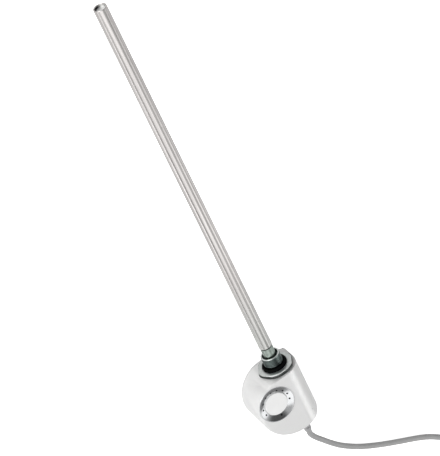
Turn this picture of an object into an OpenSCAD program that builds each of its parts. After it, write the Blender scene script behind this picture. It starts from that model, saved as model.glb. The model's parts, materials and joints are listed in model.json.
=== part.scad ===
// Electric immersion heating rod with a control head, cord and plug.
// Y runs along the rod towards its tip, Z is the way the dial faces, and the
// origin is the centre of the face that seals round the pipe thread.

/* [Heating rod] */
// Length of the rod from the seat of the thread to the tip
rod_reach = 477.6; // [200:0.2:900]
// Outside diameter of the sheath
rod_d = 14.4; // [13.8:0.1:16]
// Wall of the sheath
rod_wall = 0.8; // [0.4:0.1:1]
// Depth of the end disc below the rim of the sheath
tip_recess = 1.6; // [0.4:0.1:3]
// Thickness of the end disc
tip_disc_t = 3; // [1:0.5:6]
// Outside diameter of the collar under the sheath
collar_d = 13.6; // [12:0.1:13.8]
// Height of the collar
collar_h = 11.9; // [4:0.1:20]
// Diameter of the coil former inside the sheath
former_d = 5.8; // [4:0.1:7]
// Thickness of the resistance winding
winding_t = 0.8; // [0.4:0.1:1.2]
// Length of the cold zone between the collar and the winding
cold_zone = 36; // [20:1:80]

/* [Pipe plug] */
// Major diameter of the pipe thread
thread_d = 20.955; // [20.955:0.001:20.955]
// Length of the threaded nipple
thread_l = 14.5; // [10:0.5:25]
// Width across the flats of the hexagon
hex_af = 37; // [34:0.5:39]
// Thickness of the hexagon
hex_t = 4.8; // [3:0.1:10]
// Thickness of the O-ring
oring_w = 4; // [2:0.1:4.2]
// Depth to which the O-ring sits in the hexagon's face
oring_sink = 1; // [0.3:0.1:1.5]
// Radius of the recess round the collar in the nipple's end
plug_recess_r = 8.8; // [7.5:0.1:9.2]
// Depth of that recess
plug_recess = 3; // [1:0.1:5]
// Diameter of the neck that turns in the head
neck_d = 16; // [14:0.5:18]
// Length of the neck below the hexagon
neck_l = 17.2; // [15:0.1:26]
// Bore through the plug
plug_bore = 8.8; // [8:0.1:9.2]
// Diameter of the three leads that leave the rod
pin_d = 2; // [1:0.1:2.4]

/* [Head] */
// Radius of the drum
drum_r = 37.7; // [36:0.1:44]
// Distance of the drum's centre to the left of the rod
drum_x = 5.8; // [2:0.1:8]
// Depth of the flat that the top of the head cuts off the drum
top_cut = 2.1; // [1:0.1:4]
// Distance of the round side's centre to the right of the rod
side_x = 1; // [0:0.1:3]
// Front of the head in front of the rod's axis, and radius of its round side
head_front = 21; // [20:0.1:26]
// Back of the head behind the rod's axis
head_back = 26; // [25:0.1:34]
// Wall of the housing
wall = 2.5; // [2:0.1:3]
// Radius of the drum's front edge
front_edge = 3; // [1:0.1:5]
// Thickness of the rear cover
cover_t = 2.6; // [2:0.1:4]
// Thickness of the gasket between the housing and its cover
gasket_t = 0.6; // [0.4:0.1:1.5]

/* [Dial] */
// Distance of the dial's centre to the left of the rod
dial_x = 21.6; // [20:0.1:23]
// Distance of the dial's centre below the top of the head
dial_drop = 24.6; // [24:0.1:30]
// Outside diameter of the dial ring
ring_d = 41.3; // [40:0.1:42]
// Width of the ring between its rim and the button
ring_width = 7.6; // [7.4:0.1:9]
// Depth of the dish in the dial ring, next to the button
dish_depth = 2.7; // [1.5:0.1:3]
// Height by which the rim stands out of the head
rim_h = 0.5; // [0.2:0.1:1]
// Distance of the lamps from the rim of the dial ring
lamp_inset = 4.9; // [4.8:0.1:5.4]
// Diameter of a lamp window
lamp_d = 1.5; // [1:0.1:1.6]
// Number of lamps on the arc
lamp_count = 9; // [3:1:11]
// Angle between two lamps
lamp_step = 26.5; // [20:0.5:27]
// Travel of the push button
button_travel = 1; // [0.5:0.1:1.2]

/* [Cord] */
// Diameter of the cord
cord_d = 6.2; // [5:0.1:7]
// Full turns in the stored coil
coil_turns = 5; // [4:1:7]
// Gap between neighbouring turns
turn_gap = 0.5; // [0.45:0.05:1]
// Radius of the innermost turn, at the middle of the cord
coil_inner_r = 25.2; // [22:0.1:35]
// Length of the tapered strain relief
relief_l = 22; // [18:1:40]

/* [Mains plug] */
// Diameter of the plug's face
plug_d = 36.8; // [34:0.1:40]
// Length of the plug's body
plug_l = 36; // [30:1:45]
// Diameter of a contact pin
contact_d = 4.8; // [4.8:0.1:4.8]
// Length of a contact pin
contact_l = 19; // [19:0.5:19]
// Distance between the two contact pins
contact_pitch = 19; // [19:0.5:19]

/* [Hidden] */
$fn = 72;

// running clearances and seats, all on the radius or along the axis
turn_fit = 0.05;
slip_fit = 0.05;
seat_gap = 0.3;
slit = 0.02;

rod_r = rod_d / 2;
rod_bore_r = rod_r - rod_wall;
thread_r = thread_d / 2;
sheath_edge = 0.4;
thread_chamfer = 0.8;
relief_w = oring_w - oring_sink + 0.3;
relief_cut = 0.7;
hex_turn = 4;
hex_chamfer = 1.6;
neck_chamfer = 0.5;
oring_slit = 0.02;
hex_corner_r = hex_af / 2 / cos(30);
hex_round_r = hex_corner_r - 0.9;
hex_face_r = hex_af / 2 - 0.4;
collar_seat = thread_l - plug_recess;
oring_r = thread_r - relief_cut + oring_w / 2;
oring_seat_r = oring_r + oring_w / 2 + 0.3;
neck_r = neck_d / 2;
spigot_r = rod_bore_r - 1.4;
spigot_l = 9;
core_gap = 1;
core_end_cover = 3;
core_slack = 0.1;
pin_spread = 2.6;
pin_tail = 6;
sensor_r = 0.8;
sensor_reach = 13;
seal_l = 10;
collar_top = thread_l + collar_h;
core_start = collar_top + spigot_l + core_gap;
winding_start = collar_top + cold_zone;
tip_disc_y = rod_reach - tip_recess - tip_disc_t;
washer_t = 0.4;
washer_r = 15.2;
head_top = -(hex_t + washer_t);
neck_end = -hex_t - neck_l;

drum_drop = drum_r - top_cut;
drum_y = head_top - drum_drop;
drum_bottom = drum_y - drum_r;
dial_cx = -dial_x;
dial_cy = head_top - dial_drop;
dial_boss_r = ring_d / 2 + 1;
boss_fair = 2.8;
boss_low = -20;
boss_high = 8;
inner_edge = 0.8;
corner_l = 5;
corner_r = norm([side_x + head_front, head_back]) - corner_l + 0.5;
corner_from = 8;
side_r = head_front;
housing_back = -head_back + cover_t + gasket_t;
inner_front = head_front - wall;

// bush and clip of the swivel
bush_r = neck_r + 3.5;
bush_flange_r = bush_r + 2;
bush_flange_t = 2;
bush_end = head_top - wall - 7.8;
clip_t = 1;
clip_top = bush_end - seat_gap;
clip_r = neck_r + 1.4;
clip_groove_r = neck_r - 1;
clip_mouth = 6;
stop_in_r = clip_r + 0.4;
stop_out_r = bush_r - 0.4;
stop_l = 2.2;
clip_tab_angle = 20;
stop_angle = 16;

// columns for the cover screws: two against the drum's wall and two against the flat side
column_r = 3.2;
column_clear = 1;
screw_core_r = 1.25;
column_in = 2.95;
column_angles = [135.2, 215];
side_column_x = side_x + side_r - wall - 2.5;
column_front = -4;
function in_drum(inset, a) = [-drum_x + (drum_r - inset) * cos(a), drum_y + (drum_r - inset) * sin(a)];
low_column_y = drum_y - sqrt(pow(drum_r - wall - column_in, 2) - pow(side_column_x + drum_x, 2));
columns = concat(
    [for (a = column_angles) in_drum(wall + column_in, a)],
    [[side_column_x, low_column_y], [side_column_x, head_top - 6.2]]);
screw_head_r = 2.7;
screw_head_h = 1.4;
screw_l = 9;
clamp_screw_l = 8;
post_screw_l = 3.6;
post_core_r = 0.9;

// parts of the dial, as heights in front of the rod's axis
ring_floor = head_front - dish_depth;
ring_back = inner_front - 1.5;
button_r = ring_d / 2 - ring_width;
ring_hub_r = button_r + seat_gap;
lamp_circle_r = ring_d / 2 - lamp_inset;
ring_body_r = ring_d / 2 - 1.5;
button_skirt = ring_back - 0.3;
flange_r = ring_hub_r + 0.4;
flange_t = 0.8;
rim_round = 0.2;
button_wall = 1.3;
button_round = 0.4;
stem_r = 2.2;
led_r = 0.8;
switch_w = 6;
switch_plunger_r = 1.6;
guide_t = 1.4;
guide_in_r = flange_r + 0.6;
guide_out_r = ring_body_r - 1.5;
led_h = 0.6;
board_t = 1.6;
dial_board_top = ring_back - guide_t - led_h - 0.8;
dial_board_r = ring_body_r - 0.8;
switch_h = 0.9;
stem_gap = button_travel + 0.2;
button_top = head_front + rim_h;
dish_out_r = ring_d / 2 - 4 * rim_round;
dish_slope = 0.45;
dish_steps = 7;
function dish_height(r) = let (u = (r - ring_hub_r) / (dish_out_r - ring_hub_r))
    ring_floor + (button_top - ring_floor) * (dish_slope * u + (1 - dish_slope) * u * u);
button_inside = button_top - 1.5;
post_ring_r = dial_board_r + 2.8;
post_angles = [20, -45, -100];
post_r = 2.6;
lamp_arc_mid = 92.5;
lone_lamp = 269.5;
lamp_angles = concat(
    [for (k = [0:lamp_count - 1]) lamp_arc_mid + (k - (lamp_count - 1) / 2) * lamp_step], [lone_lamp]);

// power board on posts of the rear cover
board_z = -17;
function from_centre(p) = [p.x - drum_x, p.y + drum_y];
standoffs = [for (p = [[-8.2, -17.7], [17.8, -5.2], [-12.2, 21.8]]) from_centre(p)];
standoff_r = 2.5;
board_edge = 6.2;
board_gap = 1.6;
screw_play = 0.15;
board_head_r = 2.4;
board_head_h = 1.7;
board_front = board_z + board_t;
relay_at = from_centre([-27.2, -0.2]);
relay_size = [17.5, 12.5, 15.3];
capacitor_at = from_centre([-14.6, -9.6]);
capacitor_r = 5;
capacitor_h = 12;
terminal_size = [17, 9, 10];
terminal_ways = 3;
wire_hole_r = 1.6;
wire_hole_h = 3.6;
fuse_at = from_centre([7.8, 0.8]);
fuse_l = 10;
fuse_r = 1.5;
fuse_lead_l = 2.5;
fuse_lead_r = 0.4;

// cord entry
exit_x = 3;
exit_z = -6;
cord_r = cord_d / 2;
exit_face = drum_bottom - 1.1;
spout_r = 7;
relief_neck_r = cord_r + 1.5;
relief_r = cord_r + 3.1;
relief_tip_r = cord_r + 0.8;
relief_flange_t = 1.6;
spout_in = drum_bottom + 7;
relief_end = exit_face - relief_l;
shelf_w = 18;
shelf_d = 6.5;
shelf_up = 9.1;
shelf = [
    [exit_x - shelf_w / 2, drum_bottom + shelf_up],
    [exit_x + shelf_w / 2, drum_bottom + shelf_up + shelf_d]
];
terminal_at = [exit_x - terminal_size.x / 2 + 0.5, shelf[1].y + 0.9];
shelf_z = exit_z + cord_r + 0.1;
clamp_screw_in = 2.6;
clamp_t = 3.4;
stub_back = 0.4;
relief_slots = 4;
relief_slot_w = 2;
relief_slot_h = 5.2;
relief_slot_step = 4.2;
relief_slot_start = 4.5;
relief_collar = 2;

floor_z = -head_back;
// route of the free cord from the strain relief to the coil
run_route = concat([[exit_x, relief_end, exit_z]], [
    [exit_x, relief_end - cord_d, exit_z], [5, -113.5, -7], [8.6, -120.5, -8.7], [13.2, -128, -10.6],
    [21.5, -141.5, -14],
    [30, -153.5, -17.2], [39, -163.7, -19.8], [48, -172.4, -21.5], [57.5, -179.6, -22.5],
    [67, -185.8, -22.9], [77, -191.6, -22.9], [87, -197, -22.9], [97, -202.2, -22.9],
    [107, -207.3, -22.9], [116, -212.2, -22.9], [124, -217.3, -22.9], [131, -222.8, -22.8],
    [138, -229, -22.6], [146, -236, -22.3], [154, -243.2, -22], [162, -250.4, -22]
]);

function unit(v) = v / norm(v);
function smooth(t) = let (u = max(0, min(1, t))) u * u * (3 - 2 * u);

// the coil starts where the run ends: in at a steady rate, up a layer, and out again
run_end = run_route[len(run_route) - 1];
run_heading = let (d = run_end - run_route[len(run_route) - 2]) atan2(d.y, d.x);
tail_heading = 90;
turn_pitch = cord_d + turn_gap;
tie_t = 0.8;
tie_w = 6;
tie_slack = 0.4;
tie_angle = -60;
coil_z = run_end.z;
coil_sweep = coil_turns * 360 + (tail_heading - run_heading + 360) % 360;
coil_outer_r = coil_inner_r + turn_pitch * coil_sweep / 720;
drift = atan(turn_pitch / (2 * PI * coil_outer_r));
coil_span = coil_sweep + 2 * drift;
coil_start = run_heading - 90 - drift;
coil_entry = run_end + cord_d * [cos(run_heading), sin(run_heading), 0];
coil_mid = coil_entry - coil_outer_r * [cos(coil_start), sin(coil_start), 0];
loop_rings = 24;
coil_steps = ceil(coil_span / 360 * loop_rings);
function coil_radius(a) = coil_outer_r - turn_pitch / 360 * min(a, coil_span - a);
function coil_height(a) = coil_z + turn_pitch * smooth((a - coil_span / 2) / 180 + 0.5);
function coil_point(a) = let (r = coil_radius(a), b = coil_start + a)
    [coil_mid.x + r * cos(b), coil_mid.y + r * sin(b), coil_height(a)];
tail_dir = [cos(tail_heading), sin(tail_heading), 0];
coil_exit = coil_point(coil_span) + cord_d * tail_dir;
coil_path = concat(
    [run_end], [for (k = [0:coil_steps]) coil_point(coil_span * k / coil_steps)], [coil_exit]);
coil_gap = min([for (i = [0:3:len(coil_path) - 1]) for (j = [i + 12:len(coil_path) - 1])
    norm(coil_path[i] - coil_path[j])]) - cord_d;
echo(least_gap_between_turns = coil_gap);

// route of the tail from the coil to the plug: along, up
tail_steps = [[0, 0], [7, 0], [18, 0.7], [30, 2.6], [42, 5], [53, 6.7], [63, 7.3], [70, 7.3]];
plug_r = plug_d / 2;
earth_w = 8;
plug_z = floor_z + sqrt(plug_r * plug_r - earth_w * earth_w / 4);
tail_rise = (plug_z - coil_exit.z) / tail_steps[len(tail_steps) - 1][1];
tail_route = [for (s = tail_steps) coil_exit + s[0] * tail_dir + [0, 0, s[1] * tail_rise]];
plug_at = tail_route[len(tail_route) - 1];
plug_relief_l = 26;
plug_face = plug_relief_l + plug_l;
grip_y = plug_relief_l;
grip_l = 27;
grip_r = plug_r - 5;
earth_depth = 2.4;
earth_l = 14;
earth_t = 0.8;
earth_margin = 1.2;
contact_seat = 8;
contact_end = contact_seat + contact_l;
contact_shank_r = contact_d / 2 - 0.4;

tie_in = coil_inner_r - cord_r - tie_slack;
tie_out = coil_outer_r + cord_r + tie_slack;
tie_high = coil_z - floor_z + turn_pitch + cord_r + 0.3;
cover_edge = 2;
cover_lip_h = 3;
cover_hole_r = screw_core_r + 0.35;
lip_gap = 0.2;
lip_t = 1.4;
gasket_in = 0.5;
board_screw_l = 4;

// return spring of the button
spring_wire = 0.6;
spring_r = 6.4;
spring_turns = 4;
spring_low = dial_board_top + spring_wire / 2 + 0.05;
spring_high = button_inside - spring_wire / 2 - 0.1;
spring_path = [for (k = [0:spring_turns * 12]) let (a = k * 30)
    [dial_cx + spring_r * cos(a), dial_cy + spring_r * sin(a),
     spring_low + (spring_high - spring_low) * smooth(k / (spring_turns * 12))]];

// one ring of a tube at p, square to t
function tube_ring(p, t, r, n) = let (s = unit(cross([0, 0, 1], t)), u = cross(t, s))
    [for (i = [0:n - 1]) p + r * (cos(360 * i / n) * s + sin(360 * i / n) * u)];
function tangent(path, i) = let (n = len(path) - 1)
    unit(path[min(i + 1, n)] - path[max(i - 1, 0)]);

// a closed tube of radius r swept along a list of points
module swept_tube(path, r, n) {
    last = len(path) - 1;
    rings = [for (i = [0:last]) each tube_ring(path[i], tangent(path, i), r, n)];
    sides = [for (i = [0:last - 1]) for (k = [0:n - 1]) let (a = i * n + k, b = i * n + (k + 1) % n)
        each [[a, b, b + n], [a, b + n, a + n]]];
    first_cap = [for (k = [1:n - 2]) [0, k + 1, k]];
    last_cap = [for (k = [1:n - 2]) [last * n, last * n + k, last * n + k + 1]];
    polyhedron(points = rings, faces = concat(sides, first_cap, last_cap));
}

// children drawn along Z are laid along the rod, from height y upwards
module axial(y = 0) translate([0, y, 0]) rotate([-90, 0, 0]) children();

// a ring or disc round the rod's axis between two heights
module axial_ring(y0, y1, r_out, r_in = 0) axial(y0) difference() {
    cylinder(r = r_out, h = y1 - y0);
    if (r_in > 0) translate([0, 0, -1]) cylinder(r = r_in, h = y1 - y0 + 2);
}

// half outline of a round block: rolled at its front edge, bevelled at its rear edge
module block_outline(r, z0, z1, edge, bevel) {
    polygon([[0, z0], [r - bevel, z0], [r, z0 + bevel], [r, z1 - edge], [r - edge, z1], [0, z1]]);
    translate([r - edge, z1 - edge]) circle(r = edge, $fn = 32);
}

// half outline of the boss that carries the dial: it fairs into the drum towards the back
module boss_outline(r, z1, edge) {
    polygon([
        [0, boss_low], [r - boss_fair, boss_low], [r, boss_high], [r, z1 - edge], [r - edge, z1], [0, z1]
    ]);
    translate([r - edge, z1 - edge]) circle(r = edge, $fn = 32);
}

// drum, dial boss and square corner in one block, drawn in by inset
module drum_form(inset, back, rear_edge = 0) {
    top = head_front - inset;
    edge = max(front_edge - inset, inner_edge);
    translate([-drum_x, drum_y, 0]) rotate_extrude()
        block_outline(drum_r - inset, -back, top, edge, rear_edge);
    translate([dial_cx, dial_cy, 0]) rotate_extrude()
        boss_outline(dial_boss_r - inset, top, inner_edge);
    translate([-drum_x, drum_y, -back]) cube([drum_x + side_x + side_r + 5, drum_drop + 5, back + top]);
}

// flat top and the side that is round about the rod, with room over the flat front
module side_form(inset, back) {
    translate([0, head_top - inset, 0]) rotate([90, 0, 0]) linear_extrude(drum_drop + drum_r + 5) {
        translate([side_x - 2 * drum_r, -back - 5]) square([2 * drum_r, back + head_front + 10]);
        translate([side_x - 1, -back - 5]) square([side_r - inset + 1, back + 5]);
        translate([side_x, 0]) circle(r = side_r - inset);
    }
}

// what is bevelled off the top corner between the back and the round side
module corner_bevel(back) difference() {
    translate([corner_from, head_top - corner_l, -back - 1]) cube([side_r + side_x, corner_l + 1, back]);
    axial(head_top - corner_l) cylinder(r1 = corner_r + corner_l, r2 = corner_r - 1, h = corner_l + 1);
}

module head_form(inset, back, rear_edge = 0) difference() {
    intersection() {
        drum_form(inset, back, rear_edge);
        side_form(inset, back);
    }
    if (rear_edge > 0) corner_bevel(back);
}

// everything between two heights, wider than the head
module slab(z0, z1) translate([-2 * drum_r, drum_y - 2 * drum_r, z0])
    cube([4 * drum_r, 4 * drum_r, z1 - z0]);

module at_dial() translate([dial_cx, dial_cy, 0]) children();

module disc(z0, z1, r) translate([0, 0, z0]) cylinder(r = r, h = z1 - z0);

module at_exit(y) translate([exit_x, y, exit_z]) rotate([90, 0, 0]) children();

// ---- heating rod and pipe plug ----

module sheath_tube() color([0.80, 0.78, 0.76]) axial() rotate_extrude() polygon([
    [rod_bore_r, collar_top], [rod_r - sheath_edge, collar_top], [rod_r, collar_top + sheath_edge],
    [rod_r, rod_reach - 2 * sheath_edge], [rod_r - sheath_edge, rod_reach - sheath_edge / 2],
    [rod_r - 1.5 * sheath_edge, rod_reach], [rod_bore_r, rod_reach]]);

module sheath_end_disc() color([0.75, 0.75, 0.75])
    axial_ring(tip_disc_y, tip_disc_y + tip_disc_t, rod_bore_r - slit);

module crimp_collar() color([0.72, 0.75, 0.72]) axial() rotate_extrude() polygon([
    [spigot_r + slit, collar_seat], [collar_d / 2, collar_seat], [collar_d / 2, collar_top - sheath_edge],
    [collar_d / 2 - sheath_edge, collar_top], [spigot_r + slit, collar_top]]);

module base_bung() color([0.6, 0.6, 0.58])
    axial_ring(collar_top, collar_top + spigot_l, rod_bore_r - slit, spigot_r + slit);

// hexagon, threaded nipple, spigot for the collar and neck with its clip groove
module pipe_plug() color([0.52, 0.55, 0.53]) {
    axial() rotate_extrude() polygon([
        [plug_bore / 2, neck_end], [neck_r - neck_chamfer, neck_end], [neck_r, neck_end + neck_chamfer],
        [neck_r, clip_top - clip_t - slit], [clip_groove_r, clip_top - clip_t - slit],
        [clip_groove_r, clip_top + slit], [neck_r, clip_top + slit], [neck_r, 1 - hex_t],
        [thread_r - relief_cut, 1 - hex_t], [thread_r - relief_cut, relief_w],
        [thread_r, relief_w + relief_cut], [thread_r, thread_l - thread_chamfer],
        [thread_r - thread_chamfer, thread_l], [plug_recess_r, thread_l],
        [plug_recess_r, collar_seat], [spigot_r, collar_seat],
        [spigot_r, collar_top + spigot_l], [plug_bore / 2, collar_top + spigot_l]]);
    difference() {
        intersection() {
            axial(-hex_t) rotate([0, 0, hex_turn]) cylinder(r = hex_corner_r, h = hex_t, $fn = 6);
            axial(-hex_t) rotate_extrude() polygon([
                [0, 0], [hex_face_r, 0], [hex_round_r, hex_chamfer], [hex_round_r, hex_t - hex_chamfer],
                [hex_face_r, hex_t], [0, hex_t]]);
        }
        axial_ring(-hex_t - 1, 1, neck_r - 1);
        axial_ring(-oring_sink, 1, oring_seat_r);
    }
}

module sealing_oring() color([0.05, 0.05, 0.05])
    axial(oring_w / 2 - oring_sink) rotate_extrude()
        translate([oring_r + oring_slit, 0]) circle(d = oring_w - 2 * oring_slit, $fn = 32);

module swivel_washer() color([0.85, 0.86, 0.84])
    axial_ring(head_top, -hex_t, washer_r, neck_r + 2 * turn_fit);

// open clip with a tab that meets the stop of the bush at both ends of the swivel
module retaining_clip() color([0.6, 0.6, 0.62]) axial(clip_top - clip_t) difference() {
    union() {
        cylinder(r = clip_r, h = clip_t);
        rotate([0, 0, -90 - clip_tab_angle / 2]) rotate_extrude(angle = clip_tab_angle)
            translate([clip_groove_r + 0.5, 0]) square([stop_out_r - clip_groove_r - 0.5, clip_t]);
    }
    translate([0, 0, -1]) cylinder(r = clip_groove_r + slit, h = clip_t + 2);
    translate([-clip_mouth / 2, 0, -1]) cube([clip_mouth, clip_r + 1, clip_t + 2]);
}

module pin_holes(r, y0, y1) for (x = [-pin_spread, pin_spread]) translate([x, 0, 0])
    axial_ring(y0, y1, r);

module sensor_hole(r, y0, y1) translate([0, 0, pin_spread]) axial_ring(y0, y1, r);

module magnesia_filling() color([0.93, 0.92, 0.88]) difference() {
    axial_ring(core_start, tip_disc_y, rod_bore_r - slit);
    axial_ring(winding_start, tip_disc_y - core_end_cover, former_d / 2 + winding_t + 2 * slit);
    pin_holes(pin_d / 2 + slit, core_start - 1, winding_start + 1);
    sensor_hole(sensor_r + slit, core_start - 1, core_start + sensor_reach + 1);
}

module coil_former() color([0.9, 0.89, 0.84])
    axial_ring(winding_start + core_slack, tip_disc_y - core_end_cover - core_slack, former_d / 2);

module resistance_winding() color([0.5, 0.45, 0.42])
    axial_ring(winding_start + core_slack, tip_disc_y - core_end_cover - core_slack,
        former_d / 2 + winding_t + slit, former_d / 2 + slit);

module connection_pins() color([0.7, 0.68, 0.6]) 
    pin_holes(pin_d / 2, neck_end - pin_tail, winding_start);

module sensor_tube() color([0.65, 0.65, 0.66])
    sensor_hole(sensor_r, neck_end - pin_tail + 1, core_start + sensor_reach);

module pin_seal() color([0.75, 0.3, 0.2]) difference() {
    axial_ring(neck_end, neck_end + seal_l, plug_bore / 2 - slit);
    pin_holes(pin_d / 2 + slit, neck_end - 1, neck_end + seal_l + 1);
    sensor_hole(sensor_r + slit, neck_end - 1, neck_end + seal_l + 1);
}

// ---- head ----

module shelf_block(z0, z1) translate([shelf[0].x, shelf[0].y, z0])
    cube([shelf[1].x - shelf[0].x, shelf[1].y - shelf[0].y, z1 - z0]);

module at_clamp_screws() for (x = [shelf[0].x + clamp_screw_in, shelf[1].x - clamp_screw_in])
    translate([x, (shelf[0].y + shelf[1].y) / 2, 0]) children();

module at_columns() for (c = columns) translate([c.x, c.y, 0]) children();

module on_dial_circle(r, a) translate([dial_cx + r * cos(a), dial_cy + r * sin(a), 0]) children();

module at_posts() for (a = post_angles) on_dial_circle(post_ring_r, a) children();

module at_standoffs() for (c = standoffs) translate([c.x, c.y, 0]) children();

module at_lamps() for (a = lamp_angles) on_dial_circle(lamp_circle_r, a) children();

// a screw with its head below z, seen from the back
module screw_from_back(z, r, l, head_r, head_h) {
    disc(z - head_h, z, head_r);
    disc(z, z + l, r);
}

module front_housing() color([0.94, 0.94, 0.94]) difference() {
    union() {
        difference() {
            intersection() {
                head_form(0, head_back, cover_edge);
                slab(housing_back, 2 * head_front);
            }
            head_form(wall, head_back);
        }
        at_columns() disc(housing_back, column_front, column_r);
        at_posts() disc(dial_board_top, inner_front + 0.5, post_r);
        at_exit(spout_in) cylinder(r = spout_r, h = spout_in - exit_face);
        shelf_block(shelf_z, inner_front + 0.5);
    }
    at_exit(drum_y) cylinder(r = relief_neck_r + slip_fit, h = 2 * drum_r);
    axial_ring(head_top - wall - 1, head_top + 1, bush_r + slip_fit);
    at_dial() disc(0, head_front + 5, ring_body_r + slip_fit);
    at_columns() disc(housing_back - 1, housing_back + screw_l, screw_core_r);
    at_posts() disc(dial_board_top - 1, dial_board_top + post_screw_l, post_core_r);
    at_clamp_screws() disc(shelf_z - 1, shelf_z + clamp_screw_l, screw_core_r);
}

module rear_cover() color([0.92, 0.92, 0.92]) difference() {
    union() {
        intersection() {
            head_form(0, head_back, cover_edge);
            slab(-head_back, cover_t - head_back);
        }
        difference() {
            cover_lip(wall + lip_gap, cover_lip_h);
            cover_lip(wall + lip_gap + lip_t, cover_lip_h + 1);
            at_columns() disc(-head_back, 0, column_r + column_clear);
        }
        at_standoffs() disc(-head_back + 1, board_z, standoff_r);
    }
    at_columns() disc(-head_back - 1, 0, cover_hole_r);
    at_columns() disc(-head_back - 1, -head_back + screw_head_h, screw_head_r + 0.3);
    at_standoffs() disc(board_z - board_screw_l, board_z + 1, post_core_r);
}

// the head's outline, drawn in, from the inside of the cover forwards
module cover_lip(inset, h) intersection() {
    head_form(inset, head_back);
    slab(cover_t - head_back, cover_t - head_back + h);
}

module cover_gasket() color([0.35, 0.36, 0.37]) difference() {
    cover_lip(gasket_in, gasket_t);
    translate([0, 0, -1]) cover_lip(wall + lip_gap - slit, gasket_t + 2);
    at_columns() disc(-head_back, 0, cover_hole_r);
}

module cover_screws() color([0.7, 0.7, 0.7]) at_columns()
    screw_from_back(-head_back + screw_head_h, screw_core_r - slit,
        cover_t + gasket_t - screw_head_h + screw_l - 1, screw_head_r, screw_head_h - 0.2);

// bush through the top of the head, with the stop that the clip's tab meets
module neck_bush() color([0.25, 0.26, 0.28]) difference() {
    union() {
        axial_ring(bush_end, head_top, bush_r);
        axial_ring(head_top - wall - bush_flange_t, head_top - wall, bush_flange_r);
        axial(bush_end - stop_l) rotate([0, 0, 90 - stop_angle / 2]) rotate_extrude(angle = stop_angle)
            translate([stop_in_r, 0]) square([stop_out_r - stop_in_r, stop_l + 0.5]);
    }
    axial_ring(bush_end - 1, head_top + 1, neck_r + turn_fit);
}

module power_board() color([0.15, 0.35, 0.2]) translate([0, 0, board_z])
    linear_extrude(board_t) difference() {
        intersection() {
            translate([-drum_x, drum_y]) circle(r = drum_r - board_edge);
            translate([-2 * drum_r, shelf[1].y])
                square([2 * drum_r + side_r - wall - board_gap, head_top - wall - board_gap - shelf[1].y]);
        }
        at_columns() circle(r = column_r + board_gap / 2);
        at_standoffs() circle(r = post_core_r + screw_play);
    }

module board_screws() color([0.7, 0.7, 0.7]) at_standoffs() {
    disc(board_z - board_screw_l + 0.5, board_front, post_core_r - slit);
    disc(board_front, board_front + board_head_h, board_head_r);
}

module on_board(c) translate([c.x, c.y, board_front]) children();

module switching_relay() color([0.1, 0.2, 0.45]) on_board(relay_at) cube(relay_size);

module smoothing_capacitor() color([0.15, 0.15, 0.18]) on_board(capacitor_at) {
    cylinder(r = capacitor_r, h = capacitor_h);
    cylinder(r = capacitor_r + 0.3, h = 1);
}

// terminal block with open wire funnels and screw wells
module terminal_block() color([0.2, 0.5, 0.3]) on_board(terminal_at) difference() {
    cube(terminal_size);
    for (k = [0:terminal_ways - 1]) translate([terminal_size.x * (k + 0.5) / terminal_ways, 0, 0]) {
        translate([0, -1, wire_hole_h]) rotate([-90, 0, 0]) cylinder(r = wire_hole_r, h = 6);
        translate([0, terminal_size.y / 2, 2 * wire_hole_h - 1])
            cylinder(r = wire_hole_r + 0.1, h = terminal_size.z);
    }
}

// fuse on two bent leads
module thermal_fuse() color([0.85, 0.82, 0.7]) on_board(fuse_at) {
    translate([0, 0, fuse_r]) rotate([0, 90, 0]) cylinder(r = fuse_r, h = fuse_l);
    for (x = [-fuse_lead_l, fuse_l + fuse_lead_l]) translate([x, 0, 0]) cylinder(r = fuse_lead_r, h = fuse_r);
    translate([-fuse_lead_l - fuse_lead_r, 0, fuse_r]) rotate([0, 90, 0])
        cylinder(r = fuse_lead_r, h = fuse_l + 2 * (fuse_lead_l + fuse_lead_r));
}

// dished ring round the button, with a bore for each lamp window
module dial_ring() color([0.78, 0.79, 0.8]) difference() {
    at_dial() rotate_extrude() polygon(concat([
        [ring_hub_r, ring_back], [ring_body_r, ring_back], [ring_body_r, head_front],
        [ring_d / 2, head_front], [ring_d / 2, button_top - rim_round], [ring_d / 2 - rim_round, button_top]],
        [for (k = [0:dish_steps]) let (r = dish_out_r + (ring_hub_r - dish_out_r) * k / dish_steps)
            [r, dish_height(r)]]));
    at_lamps() disc(ring_back - 1, head_front, lamp_d / 2 + slit);
}

module light_guide() color([0.3, 0.31, 0.33]) {
    at_dial() difference() {
        disc(ring_back - guide_t, ring_back, guide_out_r);
        disc(ring_back - guide_t - 1, ring_back + 1, guide_in_r);
    }
    at_lamps() disc(ring_back - 0.5, dish_height(lamp_circle_r - lamp_d / 2), lamp_d / 2);
}

module dial_board() color([0.15, 0.35, 0.2]) translate([0, 0, dial_board_top - board_t])
    linear_extrude(board_t) difference() {
        union() {
            translate([dial_cx, dial_cy]) circle(r = dial_board_r);
            at_posts() circle(r = post_r + 1);
        }
        at_posts() circle(r = post_core_r + screw_play);
    }

module dial_board_screws() color([0.7, 0.7, 0.7]) at_posts()
    screw_from_back(dial_board_top - board_t, post_core_r - slit, board_t + post_screw_l - 0.5,
        board_head_r, board_head_h);

module lamp_diodes() color([0.9, 0.88, 0.7]) 
    at_lamps() disc(dial_board_top, dial_board_top + led_h, led_r);

module tact_switch() color([0.12, 0.12, 0.13]) translate([dial_cx, dial_cy, dial_board_top]) {
    translate([-switch_w / 2, -switch_w / 2, 0]) cube([switch_w, switch_w, switch_h - 0.3]);
    cylinder(r = switch_plunger_r, h = switch_h);
}

// coil spring round the switch, under the button
module button_spring() color([0.7, 0.71, 0.72]) swept_tube(spring_path, spring_wire / 2, 6);

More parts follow.
